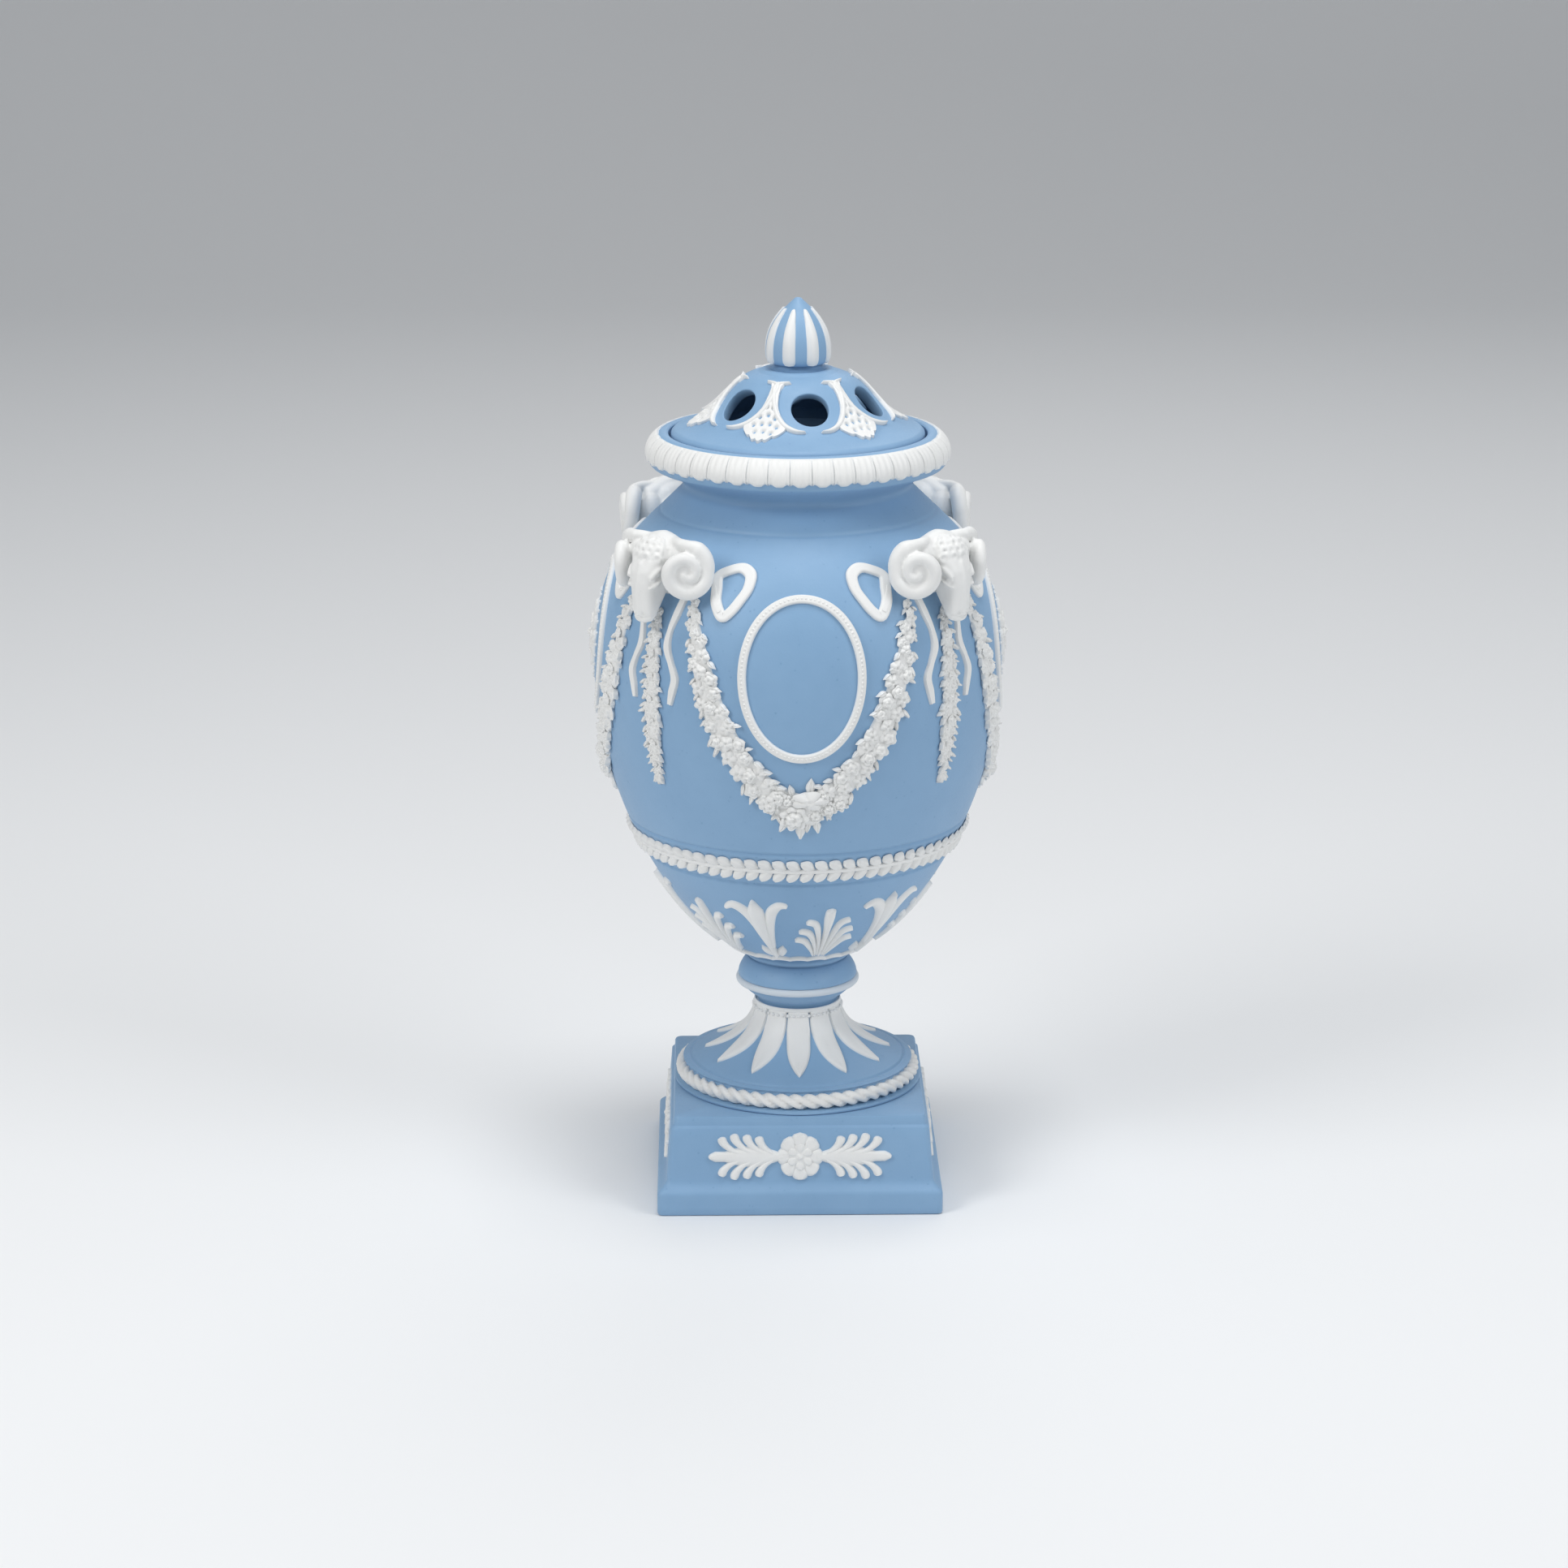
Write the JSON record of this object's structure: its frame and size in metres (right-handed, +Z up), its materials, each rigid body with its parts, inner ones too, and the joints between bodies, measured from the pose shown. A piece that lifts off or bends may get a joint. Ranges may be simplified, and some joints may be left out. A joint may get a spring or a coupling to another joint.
{
  "type": "covered potpourri vase",
  "caption": "Two-coloured stoneware vase with a lift-off pierced cover, ram heads, garlands and a bolted square plinth, for holding scented dried petals.",
  "frame": {"origin": "centre of the plinth's underside", "axes": "+Z up along the axis of the vase, -Y towards the front, square to the plinth's front face"},
  "size_m": [0.1388, 0.1358, 0.3],
  "materials": {
    "blue_stoneware": "matte, unglazed, fine grain",
    "white_stoneware": "matte, unglazed, fine grain",
    "bolt_brass": "turned, dull",
    "washer_rubber": "matte"
  },
  "bodies": {
    "vase": {"plinth": "blue_stoneware", "plinth_spray_front": "white_stoneware", "plinth_spray_right": "white_stoneware", "plinth_spray_back": "white_stoneware", "plinth_spray_left": "white_stoneware", "socle": "blue_stoneware", "rope_band": "white_stoneware", "socle_leaves": "white_stoneware", "socle_bead_ring": "white_stoneware", "knop": "blue_stoneware", "knop_band": "white_stoneware", "vessel": "blue_stoneware", "rim_border": "white_stoneware", "calyx_edge": "white_stoneware", "calyx_lilies": "white_stoneware", "calyx_palmettes": "white_stoneware", "laurel_band": "white_stoneware", "garland_front": "white_stoneware", "garland_right": "white_stoneware", "garland_back": "white_stoneware", "garland_left": "white_stoneware", "medallion_front": "white_stoneware", "medallion_right": "white_stoneware", "medallion_back": "white_stoneware", "medallion_left": "white_stoneware", "patera_right": "white_stoneware", "patera_left": "white_stoneware", "ram_front_right": "white_stoneware", "ram_back_right": "white_stoneware", "ram_back_left": "white_stoneware", "ram_front_left": "white_stoneware", "bow_front_right": "white_stoneware", "bow_back_right": "white_stoneware", "bow_back_left": "white_stoneware", "bow_front_left": "white_stoneware", "drop_front_right": "white_stoneware", "drop_back_right": "white_stoneware", "drop_back_left": "white_stoneware", "drop_front_left": "white_stoneware", "tie_bolt": "bolt_brass", "head_washer": "washer_rubber", "nut_washer": "washer_rubber", "tie_nut": "bolt_brass"},
    "cover_lift": {"finial_collar": "blue_stoneware"},
    "cover": {"cover": "blue_stoneware", "cover_palmettes": "white_stoneware", "finial": "blue_stoneware", "finial_stripes": "white_stoneware"}
  },
  "joints": [
    {"name": "lid_lift", "type": "slide", "parent": "vase", "child": "cover_lift", "axis": [0, 0, 1], "range_m": [0, 0.1]},
    {"name": "lid_turn", "type": "hinge", "parent": "cover_lift", "child": "cover", "pos_m": [0, 0, 0.277], "axis": [0, 0, 1], "continuous": true}
  ]
}
